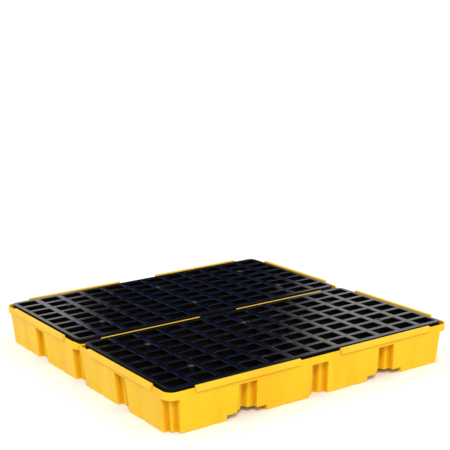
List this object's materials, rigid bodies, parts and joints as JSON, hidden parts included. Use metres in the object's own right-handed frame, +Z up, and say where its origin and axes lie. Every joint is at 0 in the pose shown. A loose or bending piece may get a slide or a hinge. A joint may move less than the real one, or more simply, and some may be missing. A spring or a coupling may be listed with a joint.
{
  "type": "spill containment pallet",
  "caption": "Low square spill pallet: a one-piece moulded base with side-by-side sumps, each covered by a lift-off grate that drums stand on.",
  "frame": {"origin": "middle of the ground face, under the centre of the pallet", "axes": "+X along the length of each sump, +Y across the two sumps from the front sump to the rear one, +Z up"},
  "size_m": [1.308, 1.33, 0.164],
  "materials": {
    "yellow_polyethylene": "satin moulded polyethylene",
    "black_polyethylene": "satin moulded polyethylene",
    "black_post": "matt moulded polyethylene",
    "grey_nylon": "moulded nylon with a soft shine"
  },
  "bodies": {
    "base": {"sump_base": "yellow_polyethylene"},
    "front_grate_assembly": {"front_grate": "black_polyethylene", "front_post_1": "black_post", "front_post_2": "black_post", "front_post_3": "black_post", "front_post_4": "black_post", "front_post_5": "black_post", "front_post_6": "black_post", "front_peg_1": "grey_nylon", "front_peg_2": "grey_nylon", "front_peg_3": "grey_nylon", "front_peg_4": "grey_nylon", "front_peg_5": "grey_nylon", "front_peg_6": "grey_nylon"},
    "rear_grate_assembly": {"rear_grate": "black_polyethylene", "rear_post_1": "black_post", "rear_post_2": "black_post", "rear_post_3": "black_post", "rear_post_4": "black_post", "rear_post_5": "black_post", "rear_post_6": "black_post", "rear_peg_1": "grey_nylon", "rear_peg_2": "grey_nylon", "rear_peg_3": "grey_nylon", "rear_peg_4": "grey_nylon", "rear_peg_5": "grey_nylon", "rear_peg_6": "grey_nylon"}
  },
  "joints": [
    {"name": "front_grate_lift", "type": "slide", "parent": "base", "child": "front_grate_assembly", "axis": [0, 0, 1], "range_m": [0, 0.25]},
    {"name": "rear_grate_lift", "type": "slide", "parent": "base", "child": "rear_grate_assembly", "axis": [0, 0, 1], "range_m": [0, 0.25]}
  ]
}
